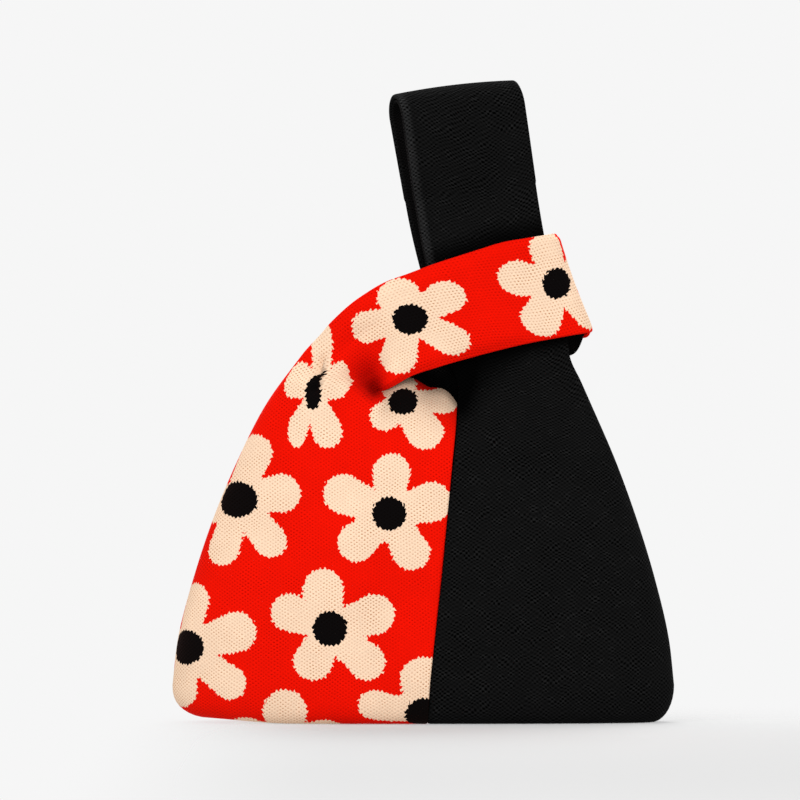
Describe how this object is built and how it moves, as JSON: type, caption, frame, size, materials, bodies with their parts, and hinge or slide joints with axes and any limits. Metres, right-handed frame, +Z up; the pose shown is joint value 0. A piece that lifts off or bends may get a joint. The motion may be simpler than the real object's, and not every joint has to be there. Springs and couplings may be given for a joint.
{
  "type": "japanese knot bag",
  "caption": "Soft knitted knot bag, half flowered and half plain, whose long handle is threaded through a short handle loop that slides on it to close the mouth.",
  "frame": {"origin": "middle of the base, on the surface the bag stands on", "axes": "+Z up through the handles, -Y out of the front, +X towards the black half"},
  "size_m": [0.25, 0.0782, 0.3199],
  "materials": {
    "flower_knit": "fine two-colour jacquard knit, red with cream flowers and black centres",
    "black_knit": "fine plain black knit",
    "lining_knit": "thin plain black knit lining",
    "seam_yarn": "black linking yarn"
  },
  "bodies": {
    "bag": {"front_flower_panel": "flower_knit", "back_flower_panel": "flower_knit", "front_black_panel": "black_knit", "back_black_panel": "black_knit", "front_flower_lining": "lining_knit", "back_flower_lining": "lining_knit", "front_black_lining": "lining_knit", "back_black_lining": "lining_knit", "front_centre_seam": "seam_yarn", "back_centre_seam": "seam_yarn", "left_side_seam": "seam_yarn", "right_side_seam": "seam_yarn", "bottom_seam": "seam_yarn", "short_handle_root_front": "flower_knit", "short_handle_root_back": "flower_knit", "short_handle_root_lining_front": "lining_knit", "short_handle_root_lining_back": "lining_knit"},
    "short_loop": {"short_handle_loop": "flower_knit", "short_handle_loop_lining": "lining_knit"},
    "long_loop": {"long_handle": "black_knit", "long_handle_lining": "lining_knit"}
  },
  "joints": [
    {"name": "loop_lift", "type": "hinge", "parent": "bag", "child": "short_loop", "pos_m": [-0.044, 0, 0.208], "axis": [0, -1, 0], "range_deg": [0, 9], "deforming": ["short_handle_root_front", "short_handle_root_back", "short_handle_root_lining_front", "short_handle_root_lining_back"]},
    {"name": "handle_swing", "type": "hinge", "parent": "bag", "child": "long_loop", "pos_m": [0.0266, 0, 0.2645], "axis": [0.989, 0, 0.1478], "range_deg": [-60, 60]}
  ]
}
